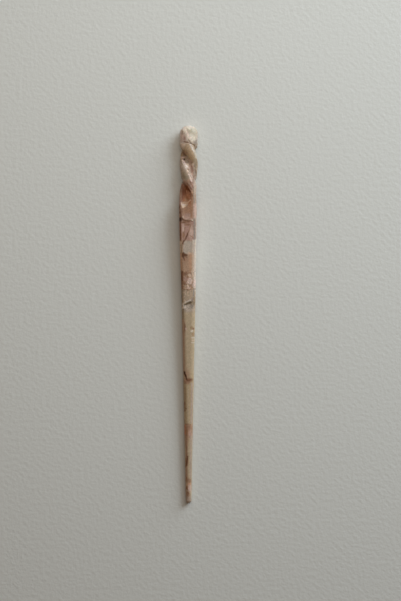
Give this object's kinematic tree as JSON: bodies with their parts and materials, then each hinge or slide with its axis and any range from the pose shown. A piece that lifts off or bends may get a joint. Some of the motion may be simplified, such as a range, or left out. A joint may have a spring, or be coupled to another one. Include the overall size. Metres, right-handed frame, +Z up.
{
  "type": "hair stick",
  "caption": "Slim hair stick of marbled acetate: a flat-faced shaft that tapers to a blunt tip, with a carved rope-like twist and a domed end at its head.",
  "frame": {"origin": "on the resting surface, under the middle of the stick's box", "axes": "+Y runs along the stick towards the twisted head, +Z points up from the flat back to the flat face, and +X is to the right when the head is at the top"},
  "size_m": [0.009, 0.18, 0.0062],
  "materials": {
    "acetate": "polished, marbled cream, tan, dusty pink and rust"
  },
  "bodies": {
    "root": {"stick": "acetate"}
  },
  "joints": []
}
